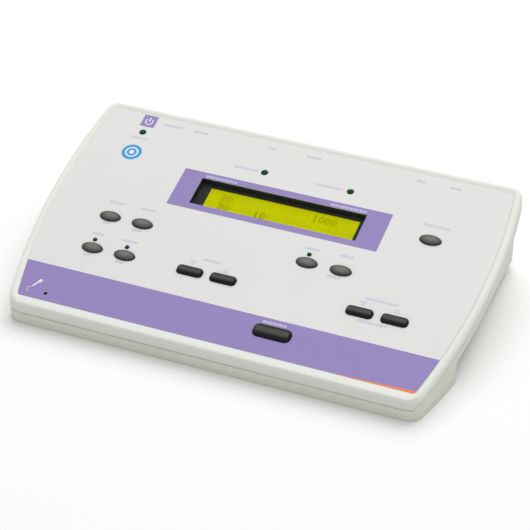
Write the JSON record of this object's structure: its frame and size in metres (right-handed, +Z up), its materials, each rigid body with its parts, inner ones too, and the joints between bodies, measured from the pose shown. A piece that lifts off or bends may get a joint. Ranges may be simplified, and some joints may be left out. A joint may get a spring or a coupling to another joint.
{
  "type": "screening audiometer",
  "caption": "Wedge-shaped desk-top audiometer console with a rimmed sloping panel, a two-line display, press keys, lamps, a power rocker and headset sockets at the back.",
  "frame": {"origin": "centre of the bounding box in plan, on the table plane under the rubber feet", "axes": "+X to the user's right, +Y away from the user towards the sockets, +Z up"},
  "size_m": [0.27, 0.1646, 0.0534],
  "materials": {
    "shell": "fine moulded texture",
    "overlay": "printed polycarbonate sheet, satin",
    "dark_plastic": "satin",
    "clear_window": "clear",
    "display_field": "lit",
    "circuit_board": "lacquered",
    "grey_rubber": "satin silicone",
    "black_rubber": "satin silicone",
    "lamp_lens": "tinted lens",
    "plated_metal": "nickel plated",
    "steel": "zinc plated",
    "soft_rubber": "matte",
    "capacitor_sleeve": "shrink sleeve",
    "cable_grey": "flat cable"
  },
  "bodies": {
    "case": {"top_cover": "shell", "base_shell": "shell", "rear_panel": "shell", "panel_overlay": "overlay", "display_liner": "dark_plastic", "display_window": "clear_window", "display_frame": "dark_plastic", "display_glass": "display_field", "display_board": "circuit_board", "key_board": "circuit_board", "key_switches": "plated_metal", "status_lamps": "lamp_lens", "key_lamps": "lamp_lens", "microphone": "plated_metal", "microphone_boot": "soft_rubber", "main_board": "circuit_board", "board_chips": "dark_plastic", "board_capacitors": "capacitor_sleeve", "left_jack": "dark_plastic", "right_jack": "dark_plastic", "response_jack": "dark_plastic", "jack_nuts": "plated_metal", "usb_socket": "plated_metal", "printer_socket": "dark_plastic", "power_inlet": "dark_plastic", "switch_housing": "dark_plastic", "rubber_feet": "soft_rubber", "case_screws": "steel", "board_screws": "steel", "board_headers": "dark_plastic", "ribbon_cable": "cable_grey"},
    "menu_key": {"menu_key": "grey_rubber"},
    "print_key": {"print_key": "grey_rubber"},
    "left_key": {"left_key": "grey_rubber"},
    "right_key": {"right_key": "grey_rubber"},
    "loud_key": {"loud_key": "grey_rubber"},
    "auto_key": {"auto_key": "grey_rubber"},
    "talk_key": {"talk_key": "grey_rubber"},
    "signal_down_key": {"signal_down_key": "black_rubber"},
    "signal_up_key": {"signal_up_key": "black_rubber"},
    "frequency_down_key": {"frequency_down_key": "black_rubber"},
    "frequency_up_key": {"frequency_up_key": "black_rubber"},
    "present_key": {"present_key": "black_rubber"},
    "power_rocker": {"power_rocker": "dark_plastic"}
  },
  "joints": [
    {"name": "menu_press", "type": "slide", "parent": "case", "child": "menu_key", "axis": [0, 0.2419, -0.9703], "range_m": [0, 0.0008], "stiffness_N_per_m": 500},
    {"name": "print_press", "type": "slide", "parent": "case", "child": "print_key", "axis": [0, 0.2419, -0.9703], "range_m": [0, 0.0008], "stiffness_N_per_m": 500},
    {"name": "left_press", "type": "slide", "parent": "case", "child": "left_key", "axis": [0, 0.2419, -0.9703], "range_m": [0, 0.0008], "stiffness_N_per_m": 500},
    {"name": "right_press", "type": "slide", "parent": "case", "child": "right_key", "axis": [0, 0.2419, -0.9703], "range_m": [0, 0.0008], "stiffness_N_per_m": 500},
    {"name": "loud_press", "type": "slide", "parent": "case", "child": "loud_key", "axis": [0, 0.2419, -0.9703], "range_m": [0, 0.0008], "stiffness_N_per_m": 500},
    {"name": "auto_press", "type": "slide", "parent": "case", "child": "auto_key", "axis": [0, 0.2419, -0.9703], "range_m": [0, 0.0008], "stiffness_N_per_m": 500},
    {"name": "talk_press", "type": "slide", "parent": "case", "child": "talk_key", "axis": [0, 0.2419, -0.9703], "range_m": [0, 0.0008], "stiffness_N_per_m": 500},
    {"name": "signal_down_press", "type": "slide", "parent": "case", "child": "signal_down_key", "axis": [0, 0.2419, -0.9703], "range_m": [0, 0.0008], "stiffness_N_per_m": 500},
    {"name": "signal_up_press", "type": "slide", "parent": "case", "child": "signal_up_key", "axis": [0, 0.2419, -0.9703], "range_m": [0, 0.0008], "stiffness_N_per_m": 500},
    {"name": "frequency_down_press", "type": "slide", "parent": "case", "child": "frequency_down_key", "axis": [0, 0.2419, -0.9703], "range_m": [0, 0.0008], "stiffness_N_per_m": 500},
    {"name": "frequency_up_press", "type": "slide", "parent": "case", "child": "frequency_up_key", "axis": [0, 0.2419, -0.9703], "range_m": [0, 0.0008], "stiffness_N_per_m": 500},
    {"name": "present_press", "type": "slide", "parent": "case", "child": "present_key", "axis": [0, 0.2419, -0.9703], "range_m": [0, 0.0008], "stiffness_N_per_m": 500},
    {"name": "power_switch_tilt", "type": "hinge", "parent": "case", "child": "power_rocker", "pos_m": [-0.1014, 0.072, 0.02868], "axis": [1, 0, 0], "range_deg": [0, 16]}
  ]
}
